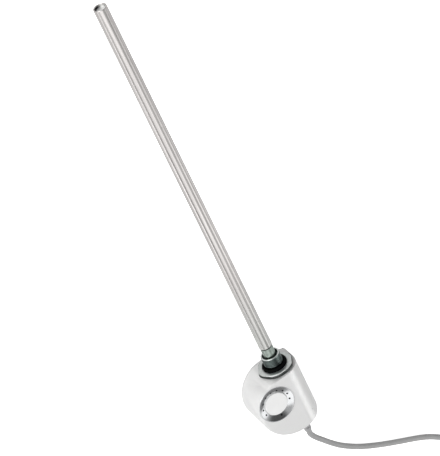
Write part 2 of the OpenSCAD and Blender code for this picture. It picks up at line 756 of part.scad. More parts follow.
module push_button() color([0.95, 0.95, 0.95]) at_dial() {
    rotate_extrude() polygon([
        [0, button_inside], [button_r - button_wall, button_inside],
        [button_r - button_wall, button_skirt - flange_t],
        [flange_r, button_skirt - flange_t], [flange_r, button_skirt], [button_r, button_skirt],
        [button_r, button_top - button_round], [button_r - button_round, button_top], [0, button_top]]);
    disc(dial_board_top + switch_h + stem_gap, button_inside + 0.1, stem_r);
}

// ---- cord inside the head ----

module cord_stub() color([0.6, 0.6, 0.6]) at_exit(shelf[1].y - stub_back)
    cylinder(r = cord_r, h = shelf[1].y - stub_back - spout_in - relief_flange_t);

module cord_clamp() color([0.85, 0.85, 0.85]) difference() {
    shelf_block(exit_z - cord_r - clamp_t, shelf_z);
    at_exit(shelf[1].y + 1) cylinder(r = cord_r + slip_fit, h = shelf_d + 2);
    at_clamp_screws() disc(-head_back, head_front, screw_core_r + screw_play);
}

module clamp_screws() color([0.7, 0.7, 0.7]) at_clamp_screws()
    screw_from_back(exit_z - cord_r - clamp_t, screw_core_r - slit,
        shelf_z - exit_z + cord_r + clamp_t + clamp_screw_l - 1, board_head_r, board_head_h);

// tapered relief with slots that let it bend
module strain_relief() color([0.62, 0.62, 0.63]) difference() {
    start = spout_in + relief_flange_t;
    at_exit(start) rotate_extrude() polygon([
        [0, 0], [relief_r, 0], [relief_r, relief_flange_t], [relief_neck_r, relief_flange_t],
        [relief_neck_r, start - exit_face], [relief_r, start - exit_face],
        [relief_r, start - exit_face + relief_collar], [relief_tip_r, start - relief_end],
        [0, start - relief_end]]);
    for (k = [0:relief_slots - 1]) for (side = [0, 180])
        translate([exit_x, exit_face - relief_slot_start - k * relief_slot_step, exit_z])
            rotate([0, side + (k % 2) * 90, 0])
                translate([cord_r + stub_back, -relief_slot_w / 2, -relief_slot_h / 2])
                    cube([relief_r, relief_slot_w, relief_slot_h]);
}

// ---- free cord, coil and plug ----

module cord_run() color([0.62, 0.62, 0.62]) swept_tube(run_route, cord_r, 10);

module cord_coil() color([0.62, 0.62, 0.62]) swept_tube(coil_path, cord_r, 6);

module cord_tail() color([0.62, 0.62, 0.62]) swept_tube(tail_route, cord_r, 10);

// strap round all the turns at one side of the coil
module coil_tie() color([0.2, 0.2, 0.2])
    translate([coil_mid.x, coil_mid.y, floor_z]) rotate([0, 0, tie_angle]) rotate([90, 0, 0])
        linear_extrude(tie_w, center = true) difference() {
            translate([tie_in - tie_t, 0]) square([tie_out - tie_in + 2 * tie_t, tie_high + tie_t]);
            translate([tie_in, tie_t]) square([tie_out - tie_in, tie_high - tie_t]);
        }

module at_plug() translate(plug_at) rotate([0, 0, tail_heading - 90]) axial() children();

// moulded plug with a waisted grip, an earth groove above and below and two seats for the contacts
module mains_plug_body() color([0.62, 0.62, 0.62]) difference() {
    at_plug() rotate_extrude() polygon([
        [0, 0], [cord_r + 0.9, 0], [cord_r + 2.6, grip_y - 4], [cord_r + 4.5, grip_y],
        [grip_r - 1.5, grip_y + 3], [grip_r, grip_y + 7], [grip_r - 0.4, grip_y + grip_l - 12],
        [plug_r - 3.4, grip_y + grip_l - 5], [plug_r - 0.8, grip_y + grip_l - 2], [plug_r, grip_y + grip_l],
        [plug_r, plug_face - 0.8], [plug_r - 0.8, plug_face], [0, plug_face]]);
    for (side = [-1, 1]) at_plug() {
        translate([-earth_w / 2, side > 0 ? plug_r - earth_depth : -plug_r - 1, plug_face - earth_l])
            cube([earth_w, earth_depth + 1, earth_l + 1]);
        translate([side * contact_pitch / 2, 0, plug_face - contact_seat])
            cylinder(r = contact_shank_r + slit, h = contact_seat + 1);
    }
}

module plug_contacts() color([0.75, 0.75, 0.72]) for (side = [-1, 1])
    at_plug() translate([side * contact_pitch / 2, 0, plug_face - contact_seat]) rotate_extrude()
        polygon([
            [0, 0], [contact_shank_r, 0], [contact_shank_r, contact_seat], [contact_d / 2, contact_seat],
            [contact_d / 2, contact_end - 1.4], [contact_d / 2 - 0.6, contact_end - 0.4],
            [contact_d / 2 - 1.4, contact_end], [0, contact_end]]);

module earth_contacts() color([0.75, 0.75, 0.72]) for (side = [-1, 1])
    at_plug() translate([
        -earth_w / 2 + earth_margin,
        side > 0 ? plug_r - earth_depth : -plug_r + earth_depth - earth_t,
        plug_face - earth_l + 1]) cube([earth_w - 2 * earth_margin, earth_t, earth_l - 2]);

sheath_tube();
sheath_end_disc();
crimp_collar();
base_bung();
pipe_plug();
sealing_oring();
swivel_washer();
retaining_clip();
magnesia_filling();
coil_former();
resistance_winding();
connection_pins();
sensor_tube();
pin_seal();
front_housing();
rear_cover();
cover_gasket();
cover_screws();
neck_bush();
power_board();
board_screws();
switching_relay();
smoothing_capacitor();
terminal_block();
thermal_fuse();
dial_ring();
light_guide();
dial_board();
dial_board_screws();
lamp_diodes();
tact_switch();
button_spring();
push_button();
cord_stub();
cord_clamp();
clamp_screws();
strain_relief();
cord_run();
cord_coil();
cord_tail();
coil_tie();
mains_plug_body();
plug_contacts();
earth_contacts();
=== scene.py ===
# %% [markdown]
# # An electric immersion heating rod
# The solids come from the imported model: a steel rod on a threaded pipe plug, a white control head
# with a dial, and a grey mains cord. This lesson dresses them. Every piece is made in metres, in
# the frame of the solids, so nothing has to be fitted by eye: places are read from their boxes.

# %% Load the solids
import json
import math

import bmesh
import bpy
import numpy as np
from mathutils import Matrix, Vector


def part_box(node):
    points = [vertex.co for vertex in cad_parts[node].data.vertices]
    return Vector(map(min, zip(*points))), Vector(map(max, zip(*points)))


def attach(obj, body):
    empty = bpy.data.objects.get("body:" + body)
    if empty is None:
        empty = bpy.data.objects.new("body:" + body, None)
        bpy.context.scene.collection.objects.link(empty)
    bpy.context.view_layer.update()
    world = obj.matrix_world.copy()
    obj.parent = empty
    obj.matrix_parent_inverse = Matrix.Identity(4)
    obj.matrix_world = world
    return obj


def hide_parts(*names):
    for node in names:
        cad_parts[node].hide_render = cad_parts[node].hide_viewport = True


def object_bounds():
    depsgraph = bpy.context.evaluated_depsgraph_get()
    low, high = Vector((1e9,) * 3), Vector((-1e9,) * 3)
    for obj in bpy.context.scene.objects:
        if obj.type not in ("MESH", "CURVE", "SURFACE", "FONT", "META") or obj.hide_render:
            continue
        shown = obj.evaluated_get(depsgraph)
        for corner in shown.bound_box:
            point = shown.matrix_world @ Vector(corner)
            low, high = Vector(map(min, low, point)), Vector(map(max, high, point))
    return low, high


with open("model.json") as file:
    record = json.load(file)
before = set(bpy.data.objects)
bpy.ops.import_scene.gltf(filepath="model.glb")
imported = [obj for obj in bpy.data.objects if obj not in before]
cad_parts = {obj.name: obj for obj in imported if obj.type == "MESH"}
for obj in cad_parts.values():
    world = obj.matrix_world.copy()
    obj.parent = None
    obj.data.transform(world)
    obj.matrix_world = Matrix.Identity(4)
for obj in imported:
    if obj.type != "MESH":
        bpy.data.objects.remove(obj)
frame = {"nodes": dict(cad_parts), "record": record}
solids_box = [list(map(float, corner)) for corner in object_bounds()]
MM = 0.001
print("solids from", np.round(solids_box[0], 3), "to", np.round(solids_box[1], 3))

# %% [markdown]
# ## The camera
# A product shot of a long thing looks calm when its sides stay parallel, and a long lens far away
# gives that. The camera could be set by hand in the viewport. Here it is placed by angles round a
# target instead: azimuth, height above the floor, and roll about its own line of sight. Each angle
# then changes one thing only, and the roll lays the rod across the frame from corner to corner.

# %% Place the camera
AZIMUTH, ELEVATION, ROLL = (math.radians(a) for a in (161.355, 53.957, 131.357))
TARGET = np.array([11.365, 182.553, 0.0]) * MM
DISTANCE, FARTHEST_SEEN = 3.5, 20
FOCAL_PIXELS, FRAME_WIDTH, SENSOR = 3437.0, 440, 36.0


def camera_axes(azimuth, elevation, roll):
    """Right, up and backward: a turntable position, then a turn about the line of sight."""
    back = np.array([-math.sin(azimuth) * math.cos(elevation),
                     -math.cos(azimuth) * math.cos(elevation),
                     math.sin(elevation)])
    right = np.cross([0.0, 0.0, 1.0], back)
    right /= np.linalg.norm(right)
    up = np.cross(back, right)
    return (right * math.cos(roll) + up * math.sin(roll),
            up * math.cos(roll) - right * math.sin(roll), back)


camera = bpy.data.objects.new("camera", bpy.data.cameras.new("camera"))
bpy.context.scene.collection.objects.link(camera)
across, upward, backward = camera_axes(AZIMUTH, ELEVATION, ROLL)
placing = Matrix.Identity(4)
for column, axis in enumerate((across, upward, backward, TARGET + DISTANCE * backward)):
    for row in range(3):
        placing[row][column] = axis[row]
camera.matrix_world = placing
camera.data.sensor_fit = "HORIZONTAL"
camera.data.sensor_width = SENSOR
camera.data.lens = FOCAL_PIXELS / FRAME_WIDTH * SENSOR
camera.data.clip_end = FARTHEST_SEEN
bpy.context.scene.camera = camera
print("lens", round(camera.data.lens, 1), "mm")

# %% [markdown]
# ## Meshes from arrays
# Most pieces below are a grid of points: one direction goes round or across, the other along. They
# could be modelled by hand from primitives, but a grid worked out with numpy keeps every radius
# exact. One function turns any such grid into a mesh, and can close it in either direction.

# %% Grid to mesh
WELD = 1e-7


def grid_faces(rows, columns, wrap_rows, wrap_columns):
    """Quads between neighbours of a rows x columns grid, as an array of corner numbers."""
    r = np.arange(rows if wrap_rows else rows - 1)
    c = np.arange(columns if wrap_columns else columns - 1)
    r, c = np.meshgrid(r, c, indexing="ij")
    below, beside = (r + 1) % rows, (c + 1) % columns
    return np.stack([r * columns + c, r * columns + beside, below * columns + beside,
                     below * columns + c], -1).reshape(-1, 4)


def turn_outwards(mesh):
    """Makes every face point out of the solid that the mesh bounds."""
    work = bmesh.new()
    work.from_mesh(mesh)
    bmesh.ops.remove_doubles(work, verts=work.verts, dist=WELD)
    bmesh.ops.recalc_face_normals(work, faces=work.faces)
    work.to_mesh(mesh)
    work.free()


def mesh_piece(name, points, faces, sharp_angle=35):
    """A new object from points in metres and faces.

    It is shaded smoothly, apart from edges sharper than the angle in degrees."""
    mesh = bpy.data.meshes.new(name)
    mesh.from_pydata(np.asarray(points, float).tolist(), [], [list(map(int, f)) for f in faces])
    mesh.update()
    piece = bpy.data.objects.new(name, mesh)
    bpy.context.scene.collection.objects.link(piece)
    turn_outwards(mesh)
    mesh.shade_smooth()
    mesh.set_sharp_from_angle(angle=math.radians(sharp_angle))
    return piece


print("grid of 3 x 4 points closed one way has", len(grid_faces(3, 4, False, True)), "quads")

# %% [markdown]
# ## Turned outlines
# The rod, its cup, the dial ring and the button are round about an axis, as from a lathe. A Screw
# modifier on a curve would do it; an outline of radius and height carried round by cosine and sine
# gives the same shape with the faces in known rows. The edges are small arcs, because a rounded
# edge catches a line of light. An outline stops just short of the axis, so that no row of faces
# shrinks to a point.

# %% Turned outlines
ALONG, UP = (0, 1, 0), (0, 0, 1)
AXIS_R = 0.01


def axis_piece(name, profile, origin, axis, around=96):
    """A turned piece: profile rows are (radius, height) in mm, carried round an axis.

    point = origin + height * axis + radius * (cos t * u + sin t * v), with t once round."""
    profile = np.asarray(profile, float)
    axis = np.asarray(axis, float)
    u = np.cross(axis, [0.3, 0.5, 0.8])
    u /= np.linalg.norm(u)
    v = np.cross(axis, u)
    t = np.arange(around) / around * 2 * np.pi
    ring = np.cos(t)[:, None] * u + np.sin(t)[:, None] * v
    points = (np.asarray(origin, float) + profile[:, 1, None, None] * axis
              + profile[:, 0, None, None] * ring)
    faces = grid_faces(len(profile), around, True, True)
    return mesh_piece(name, points.reshape(-1, 3) * MM, faces)


def arc(centre, radius, start, end, steps=8):
    """Points on a circle's arc in a profile, angles in degrees."""
    a = np.radians(np.linspace(start, end, steps))
    return np.stack([centre[0] + radius * np.cos(a), centre[1] + radius * np.sin(a)], -1).tolist()


print("an edge of 0.5 mm as 3 points:", np.round(arc((0, 0), 0.5, 0, 90, 3), 2).tolist())

# %% [markdown]
# ## The cord's route
# The mains lead is one tube of one real length. It leaves the relief straight, sinks to the floor
# and runs out of the frame; there the rest is wound in a neat spiral of two layers, and the tail
# ends in the plug. A curve object with a round bevel could draw it. Points of the same route as
# the solids' cord, with a smooth curve through them, keep its length known to the millimetre.

# %% Points of the cord
CORD_D = 6.2
RELIEF_END = (3.0, -101.6, -6.0)
run_points = [
    RELIEF_END, (3, -107.8, -6), (5, -113.5, -7), (8.6, -120.5, -8.7), (13.2, -128, -10.6),
    (21.5, -141.5, -14), (30, -153.5, -17.2), (39, -163.7, -19.8), (48, -172.4, -21.5),
    (57.5, -179.6, -22.5), (67, -185.8, -22.9), (77, -191.6, -22.9), (87, -197, -22.9),
    (97, -202.2, -22.9), (107, -207.3, -22.9), (116, -212.2, -22.9), (124, -217.3, -22.9),
    (131, -222.8, -22.8), (138, -229, -22.6), (146, -236, -22.3), (154, -243.2, -22),
    (162, -250.4, -22)]
print("the cord runs from", RELIEF_END, "to its coil at", run_points[-1])

# %% Coil
COIL_TURNS, TURN_GAP, COIL_INNER, POINTS_A_TURN = 5, 0.5, 25.2, 72
TAIL_HEADING = 90.0


def smooth_step(t):
    """0 before 0, 1 after 1, and a soft rise between: 3u^2 - 2u^3."""
    u = np.clip(t, 0, 1)
    return u * u * (3 - 2 * u)


def level_direction(degrees):
    """The unit vector on the floor that points along a heading."""
    return np.array([math.cos(math.radians(degrees)), math.sin(math.radians(degrees)), 0])


def coil_route(end, before):
    """A spiral that goes in for half its sweep on one layer and out on the next.

    Its radius falls by one pitch a turn and grows again; it climbs one pitch in half a turn."""
    pitch = CORD_D + TURN_GAP
    heading = math.degrees(math.atan2(end[1] - before[1], end[0] - before[0]))
    sweep = COIL_TURNS * 360 + (TAIL_HEADING - heading + 360) % 360
    outer = COIL_INNER + pitch * sweep / 720
    drift = math.degrees(math.atan(pitch / (2 * math.pi * outer)))
    span = sweep + 2 * drift
    start = heading - 90 - drift
    entry = np.array(end) + CORD_D * level_direction(heading)
    middle = entry - outer * level_direction(start)
    a = np.linspace(0, span, int(COIL_TURNS * POINTS_A_TURN))
    r = outer - pitch / 360 * np.minimum(a, span - a)
    b = np.radians(start + a)
    z = end[2] + pitch * smooth_step((a - span / 2) / 180 + 0.5)
    points = np.stack([middle[0] + r * np.cos(b), middle[1] + r * np.sin(b), z], -1)
    return points, outer


coil_points, coil_outer = coil_route(run_points[-1], run_points[-2])
print("coil", round(2 * coil_outer), "mm across its outer turn")

# %% Smooth curve
CURVE_STEP, PATH_STEP, SAME_POINT = 0.5, 2.2, 1e-6


def through(points, step=PATH_STEP):
    """A smooth curve through the points (Catmull-Rom by chord length), at an even step."""
    p = np.asarray(points, float)
    keep = np.r_[True, np.linalg.norm(np.diff(p, axis=0), axis=1) > SAME_POINT]
    p = p[keep]
    t = np.r_[0, np.cumsum(np.linalg.norm(np.diff(p, axis=0), axis=1))]
    slope = np.gradient(p, t, axis=0)
    fine = np.linspace(0, t[-1], int(t[-1] / CURVE_STEP))
    k = np.clip(np.searchsorted(t, fine, side="right") - 1, 0, len(t) - 2)
    h = (t[k + 1] - t[k])[:, None]
    u = ((fine - t[k])[:, None]) / h
    curve = ((2 * u**3 - 3 * u**2 + 1) * p[k] + (u**3 - 2 * u**2 + u) * h * slope[k]
             + (3 * u**2 - 2 * u**3) * p[k + 1] + (u**3 - u**2) * h * slope[k + 1])
    run = np.r_[0, np.cumsum(np.linalg.norm(np.diff(curve, axis=0), axis=1))]
    even = np.linspace(0, run[-1], int(run[-1] / step))
    return np.stack([np.interp(even, run, curve[:, i]) for i in range(3)], -1), run[-1]


print("a route of 3 points becomes", len(through(run_points[:3])[0]), "points")

# %% Join the route
PLUG_R, EARTH_W = 18.4, 8.0
# how far along the tail, and how high in units that end at the plug's height
tail_steps = np.array([(0, 0), (7, 0), (18, 0.7), (30, 2.6), (42, 5), (53, 6.7), (63, 7.3),
                       (70, 7.3)])
tail_dir = level_direction(TAIL_HEADING)
coil_exit = coil_points[-1] + CORD_D * tail_dir
floor_z = solids_box[0][2] / MM
plug_z = floor_z + math.sqrt(PLUG_R**2 - (EARTH_W / 2) ** 2)
rise = (plug_z - coil_exit[2]) / tail_steps[-1, 1]
tail_points = (coil_exit + tail_steps[:, :1] * tail_dir
               + tail_steps[:, 1:] * rise * np.array([0, 0, 1.0]))
cord_path, cord_length = through(np.vstack([run_points, coil_points, tail_points]))
print("cord", round(cord_length), "mm long, in", len(cord_path), "steps")

# %% [markdown]
# ## A tube along a path
# The cord has a round section of one thickness. It is made as a circle carried along the curve:
# the frame of each ring comes from the vertical and the tangent, so the tube doesn't twist, which
# a frame that only follows the curve would do in the coil. Both ends are closed by one flat face.

# %% Sweep the tube
def tube(name, path, radius, around=14):
    """Rings of the given radius round each point of the path, in the plane across its tangent."""
    p = np.asarray(path, float)
    tangent = np.gradient(p, axis=0)
    tangent /= np.linalg.norm(tangent, axis=1)[:, None]
    side = np.cross([0.0, 0.0, 1.0], tangent)
    side /= np.linalg.norm(side, axis=1)[:, None]
    top = np.cross(tangent, side)
    t = np.arange(around) / around * 2 * np.pi
    rings = p[:, None] + radius * (np.cos(t)[None, :, None] * side[:, None]
                                   + np.sin(t)[None, :, None] * top[:, None])
    faces = grid_faces(len(p), around, False, True).tolist()
    faces += [list(range(around))[::-1], [(len(p) - 1) * around + k for k in range(around)]]
    return mesh_piece(name, rings.reshape(-1, 3) * MM, faces, sharp_angle=50)


cord = tube("mains_cord", cord_path, CORD_D / 2)
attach(cord, "head")
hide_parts("cord_run", "cord_coil", "cord_tail")
print("cord mesh has", len(cord.data.polygons), "faces")

# %% [markdown]
# ## The rod
# The rod is a thin drawn tube, open at its tip. A cylinder with a Solidify modifier would have
# square ends, so its outline runs up the outside, over the rounded rim and down the bore. A piece
# that stands for a solid hides that solid and rides on its body, so one helper says both; its
# finish is given when the pieces are dressed.

# %% Rod
def box_mm(node):
    """Lowest and highest corner of a solid, in mm."""
    return np.array(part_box(node)) / MM


def replace_solid(piece, node, body):
    """The piece stands for one solid: the solid is hidden, and the piece rides on its body."""
    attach(piece, body)
    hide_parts(node)
    return piece


ROD_WALL, FOOT_EDGE, TIP_EDGE = 0.8, 0.5, 0.38
rod_low, rod_high = box_mm("sheath_tube")
foot, tip, rod_r = rod_low[1], rod_high[1], rod_high[0]
bore = rod_r - ROD_WALL
rod_outline = (
    [(bore, foot)]
    + arc((rod_r - FOOT_EDGE, foot + FOOT_EDGE), FOOT_EDGE, -90, 0, 6)
    + arc((rod_r - TIP_EDGE, tip - TIP_EDGE), TIP_EDGE, 0, 90, 7)
    + arc((bore + TIP_EDGE, tip - TIP_EDGE), TIP_EDGE, 90, 180, 5))
rod = replace_solid(axis_piece("heating_rod", rod_outline, (0, 0, 0), ALONG, around=128),
                    "sheath_tube", "element")
print("rod", round(tip - foot, 1), "mm long,", round(2 * rod_r, 1), "mm thick")

# %% [markdown]
# ## The cup in the rod's end
# The tip is closed by a shallow pressed cup below the rim, as a disc welded into a tube is. Its
# floor is bright and its wall is darker, which is painted shade. It could be part of the rod's
# outline, but as a piece of its own its rows of faces can take two finishes further down.

# %% End cup
CUP_WALL, CUP_DEPTH, CUP_BASE, CUP_LIP, CUP_PLAY, CUP_FILLET = 0.35, 2.9, 0.5, 0.7, 0.06, 0.3
CUP_AROUND, CUP_CROWN = 96, 0.15
cup_r, cup_floor = bore - CUP_PLAY, tip - CUP_DEPTH
cup_in = cup_r - CUP_WALL
cup_outline = [(AXIS_R, cup_floor - CUP_BASE), (cup_r, cup_floor - CUP_BASE),
               (cup_r, tip - CUP_LIP), (cup_in, tip - CUP_LIP), (cup_in, cup_floor + CUP_FILLET),
               (cup_in - CUP_FILLET, cup_floor), (AXIS_R, cup_floor + CUP_CROWN)]
end_cup = replace_solid(axis_piece("end_cup", cup_outline, (0, 0, 0), ALONG, CUP_AROUND),
                        "sheath_end_disc", "element")
print("cup of radius", round(cup_in, 2), "mm,", CUP_DEPTH, "mm below the rim")

# %% [markdown]
# ## The dial ring
# The ring is a metallised plastic dish with a narrow raised rim. A plain cone would mirror even
# sectors; this dish is steeper near the rim, which is what makes its bright and dark sectors taper
# towards the button. Many rows across the dish keep its reflections smooth.

# %% Dial ring
RING_WIDTH, HUB_PLAY, RIM_W, RING_EDGE, RING_REBATE = 7.6, 0.3, 0.8, 0.25, 1.5
RIM_BEVEL, RIM_BEVEL_DROP = 0.15, 0.03
DISH_FLOOR, DISH_SLOPE, DISH_ROWS, SHELL_FRONT = 19.2, 0.75, 26, 21.0
BELOW_RIM, BEFORE_HUB, HUB_DROP = 0.08, 0.15, 0.1
ring_low, ring_high = box_mm("dial_ring")
dial_at = ((ring_low + ring_high) / 2)[:2]
ring_r, ring_top, ring_back = (ring_high[0] - ring_low[0]) / 2, ring_high[2], ring_low[2]
hub_r, ring_body_r = ring_r - RING_WIDTH + HUB_PLAY, ring_r - RING_REBATE


def dish_height(r):
    """Height of the ring's face: it rises from hub to rim, part evenly and part as a square."""
    u = (np.asarray(r) - hub_r) / (ring_r - RIM_W - hub_r)
    return DISH_FLOOR + (ring_top - DISH_FLOOR) * (DISH_SLOPE * u + (1 - DISH_SLOPE) * u * u)


dish_r = np.linspace(ring_r - RIM_W - BELOW_RIM, hub_r + BEFORE_HUB, DISH_ROWS)
ring_outline = (
    [(hub_r, ring_back), (ring_body_r, ring_back), (ring_body_r, SHELL_FRONT),
     (ring_r, SHELL_FRONT)]
    + arc((ring_r - RING_EDGE, ring_top - RING_EDGE), RING_EDGE, 0, 90, 6)
    + [(ring_r - RIM_W + RIM_BEVEL, ring_top), (ring_r - RIM_W, ring_top - RIM_BEVEL_DROP)]
    + np.stack([dish_r, dish_height(dish_r)], -1).tolist() + [(hub_r, DISH_FLOOR - HUB_DROP)])
ring = replace_solid(axis_piece("dished_ring", ring_outline, (*dial_at, 0), UP, around=180),
                     "dial_ring", "head")
print("dial of radius", round(ring_r, 2), "mm at", dial_at.round(2))

# %% [markdown]
# ## The push button
# The button is a moulded cap with a flange below the ring, which keeps it in, and a stem that meets
# the switch. It could be a bevelled disc, but then nothing would hold it when it moves. Its top is
# very slightly domed, so its reflection isn't dead flat.

# %% Push button
CAP_SINK, CAP_DOME, CAP_EDGE, CAP_EDGE_DROP, CAP_WALL, CAP_ROOF = 0.9, 0.05, 0.55, 0.6, 1.3, 1.5
STEM_R, STEM_DROP, FLANGE_T, FLANGE_LAP, FLANGE_PLAY = 2.2, 0.7, 0.8, 0.4, 0.3
button_top = box_mm("push_button")[1][2]
button_high, button_inside = button_top - CAP_SINK, button_top - CAP_ROOF
button_r, flange_r = ring_r - RING_WIDTH, hub_r + FLANGE_LAP
stem_low, skirt_top = ring_back - STEM_DROP, ring_back - FLANGE_PLAY
button_outline = (
    [(AXIS_R, stem_low), (STEM_R, stem_low), (STEM_R, button_inside),
     (button_r - CAP_WALL, button_inside), (button_r - CAP_WALL, skirt_top - FLANGE_T),
     (flange_r, skirt_top - FLANGE_T), (flange_r, skirt_top), (button_r, skirt_top)]
    + arc((button_r - CAP_EDGE, button_high - CAP_EDGE_DROP), CAP_EDGE, 0, 84, 7)
    + [(r, button_high - CAP_DOME * (r / button_r) ** 2) for r in (11.2, 9, 6, 3, AXIS_R)])
button = replace_solid(axis_piece("button_cap", button_outline, (*dial_at, 0), UP, around=128),
                       "push_button", "button")
print("button of radius", round(button_r, 2), "mm, its top at", round(button_high, 2), "mm")

# %% [markdown]
# ## The shell
# The moulded shell keeps its solid's shape. Where the dial's boss runs out into the drum, the solid
# has a shallow crease, and a moulded shell has none. A copy whose corners are joined can be shaded
# smoothly over such shallow angles, while the true edges stay sharp.

# %% Shell
CREASE_ANGLE, CORNER_WELD = 22, 1e-6


def softened_copy(name, node, sharp_angle):
    """A solid's own faces, joined at their corners and shaded smoothly up to the given angle."""
    work = bmesh.new()
    work.from_mesh(frame["nodes"][node].data)
    bmesh.ops.remove_doubles(work, verts=work.verts, dist=CORNER_WELD)
    points = [tuple(v.co) for v in work.verts]
    faces = [[v.index for v in f.verts] for f in work.faces]
    work.free()
    return mesh_piece(name, points, faces, sharp_angle=sharp_angle)


shell = replace_solid(softened_copy("head_shell", "front_housing", CREASE_ANGLE),
                      "front_housing", "head")
print("shell of", len(shell.data.polygons), "faces")

# %% [markdown]
# ## Lamp windows
# Ten small dark lenses lie in the dish, nine on an arc and one alone. They could be one lens
# copied ten times. Here all ten are one mesh, worked out at once: each is a low cap tilted as the
# dish is where it sits, and the same grid of faces serves for each.

# %% Lamp windows
LAMP_INSET, LAMP_R, LENS_SIDES, LENS_SINK, LENS_TOP = 4.9, 1.1, 20, 0.3, 0.11
ARC_LAMPS, ARC_MIDDLE, ARC_STEP, LONE_LAMP = 9, 92.5, 26.5, 269.5
# the lens from its edge to its middle, as shares of its radius and heights in mm
LENS_DOME = [(1.0, 0.02), (0.8, 0.07), (0.4, 0.1)]
lamp_circle = ring_r - LAMP_INSET
lamp_angles = np.radians([ARC_MIDDLE + ARC_STEP * (k - ARC_LAMPS // 2) for k in range(ARC_LAMPS)]
                         + [LONE_LAMP])


def lamp_windows():
    """Small lens caps that lie in the dish: each is a grid of rings tilted with the ring's face."""
    count = len(lamp_angles)
    slope = float(dish_height(lamp_circle + 0.5) - dish_height(lamp_circle - 0.5))
    radial = np.stack([np.cos(lamp_angles), np.sin(lamp_angles), np.zeros(count)], -1)
    sideways = np.stack([-np.sin(lamp_angles), np.cos(lamp_angles), np.zeros(count)], -1)
    tilted = radial + np.array([0, 0, slope])
    tilted /= np.linalg.norm(tilted, axis=1)[:, None]
    normal = np.cross(tilted, sideways)
    middle = (np.array([*dial_at, 0]) + lamp_circle * radial
              + np.array([0, 0, dish_height(lamp_circle)]))
    rows = np.array([(2 * AXIS_R, -LENS_SINK), (LAMP_R, -LENS_SINK)]
                    + [(share * LAMP_R, height) for share, height in LENS_DOME]
                    + [(2 * AXIS_R, LENS_TOP)])
    t = np.arange(LENS_SIDES) / LENS_SIDES * 2 * np.pi
    ring_dir = (np.cos(t)[None, :, None] * tilted[:, None]
                + np.sin(t)[None, :, None] * sideways[:, None])
    points = (middle[:, None, None] + rows[None, :, :1, None] * ring_dir[:, None]
              + rows[None, :, 1, None, None] * normal[:, None, None])
    one = grid_faces(len(rows), LENS_SIDES, True, True)
    faces = np.concatenate([one + k * len(rows) * LENS_SIDES for k in range(count)])
    return mesh_piece("lamp_windows", points.reshape(-1, 3) * MM, faces)


lamps = lamp_windows()
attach(lamps, "head")
print(len(lamp_angles), "lamp windows on a circle of", round(lamp_circle, 2), "mm")

# %% [markdown]
# ## The pipe plug
# The plug is a hexagon, a groove for the O-ring, a pipe thread, a rim and a neck, all turned from
# one bar. Cutting a hexagon and a screw with Booleans gives long thin faces, so the plug is one
# grid instead. Each row has a height, and its radius may change on the way round: in the hexagon
# it is the least of the flat's distance divided by the cosine of the angle from the flat's middle,
# the cones of the two chamfers, and the turned-down corners.

# %% Hexagon
HEX_AF, HEX_T, HEX_TURN, HEX_CHAMFER, HEX_ROWS = 37.0, 4.8, 4.0, 1.6, 33
CORNER_CUT, FACE_CUT, AROUND_PLUG = 0.9, 0.4, 360
hex_round = HEX_AF / 2 / math.cos(math.radians(30)) - CORNER_CUT
hex_face = HEX_AF / 2 - FACE_CUT
turn = np.arange(AROUND_PLUG) / AROUND_PLUG * 360.0


def hexagon_rows():
    """Heights of the hexagon's rows, and their radii: least of flat, chamfer cones and corners."""
    off_flat = (turn - HEX_TURN) % 60 - 30
    flat_r = HEX_AF / 2 / np.cos(np.radians(off_flat))
    cone = (hex_round - hex_face) / HEX_CHAMFER
    hex_y = np.linspace(-HEX_T, 0, HEX_ROWS)
    chamfers = np.minimum(hex_face + cone * (hex_y + HEX_T), hex_face - cone * hex_y)
    return hex_y, np.minimum(flat_r[None], np.minimum(chamfers, hex_round)[:, None])


print("hexagon", HEX_AF, "mm across its flats, turned by", HEX_TURN, "degrees")

# %% Thread
THREAD_R, THREAD_PITCH, THREAD_CUT, THREAD_FADE, THREAD_ROW = 10.4775, 1.814, 0.3, 1.2, 0.2
THREAD_LOW, THREAD_HIGH = 4.0, 13.7


def thread_rows():
    """Heights of the thread's rows, and their radii: a wave that climbs one pitch a turn.

    radius = THREAD_R - cut * (0.5 - 0.5 cos(2 pi (height / pitch + turn / 360))), faded at ends."""
    thread_y = np.arange(THREAD_LOW, THREAD_HIGH, THREAD_ROW)
    wave = 0.5 - 0.5 * np.cos(2 * np.pi * (thread_y[:, None] / THREAD_PITCH + turn[None] / 360))
    ease = np.minimum(smooth_step((thread_y - THREAD_LOW) / THREAD_FADE),
                      smooth_step((THREAD_HIGH - thread_y) / THREAD_FADE))
    return thread_y, THREAD_R - THREAD_CUT * wave * ease[:, None]


print("thread of", round(2 * THREAD_R, 3), "mm with", len(thread_rows()[0]), "rows")

# %% Pipe plug
SEAT_R, SEAT_Y, SEAT_EDGE, UNDERCUT_R, UNDERCUT_RISE = 14.0775, -1.0, 0.25, 9.7775, 0.7
NIPPLE_TOP, NIPPLE_EDGE, RECESS_R, RECESS_Y, RECESS_EDGE = 14.5, 0.8, 8.8, 11.5, 0.12
SPIGOT_R, PLUG_BORE_R, NECK_R, NECK_CHAMFER = 5.0, 4.4, 8.0, 0.5
plug_low, plug_high = box_mm("pipe_plug")[0][1], box_mm("pipe_plug")[1][1]


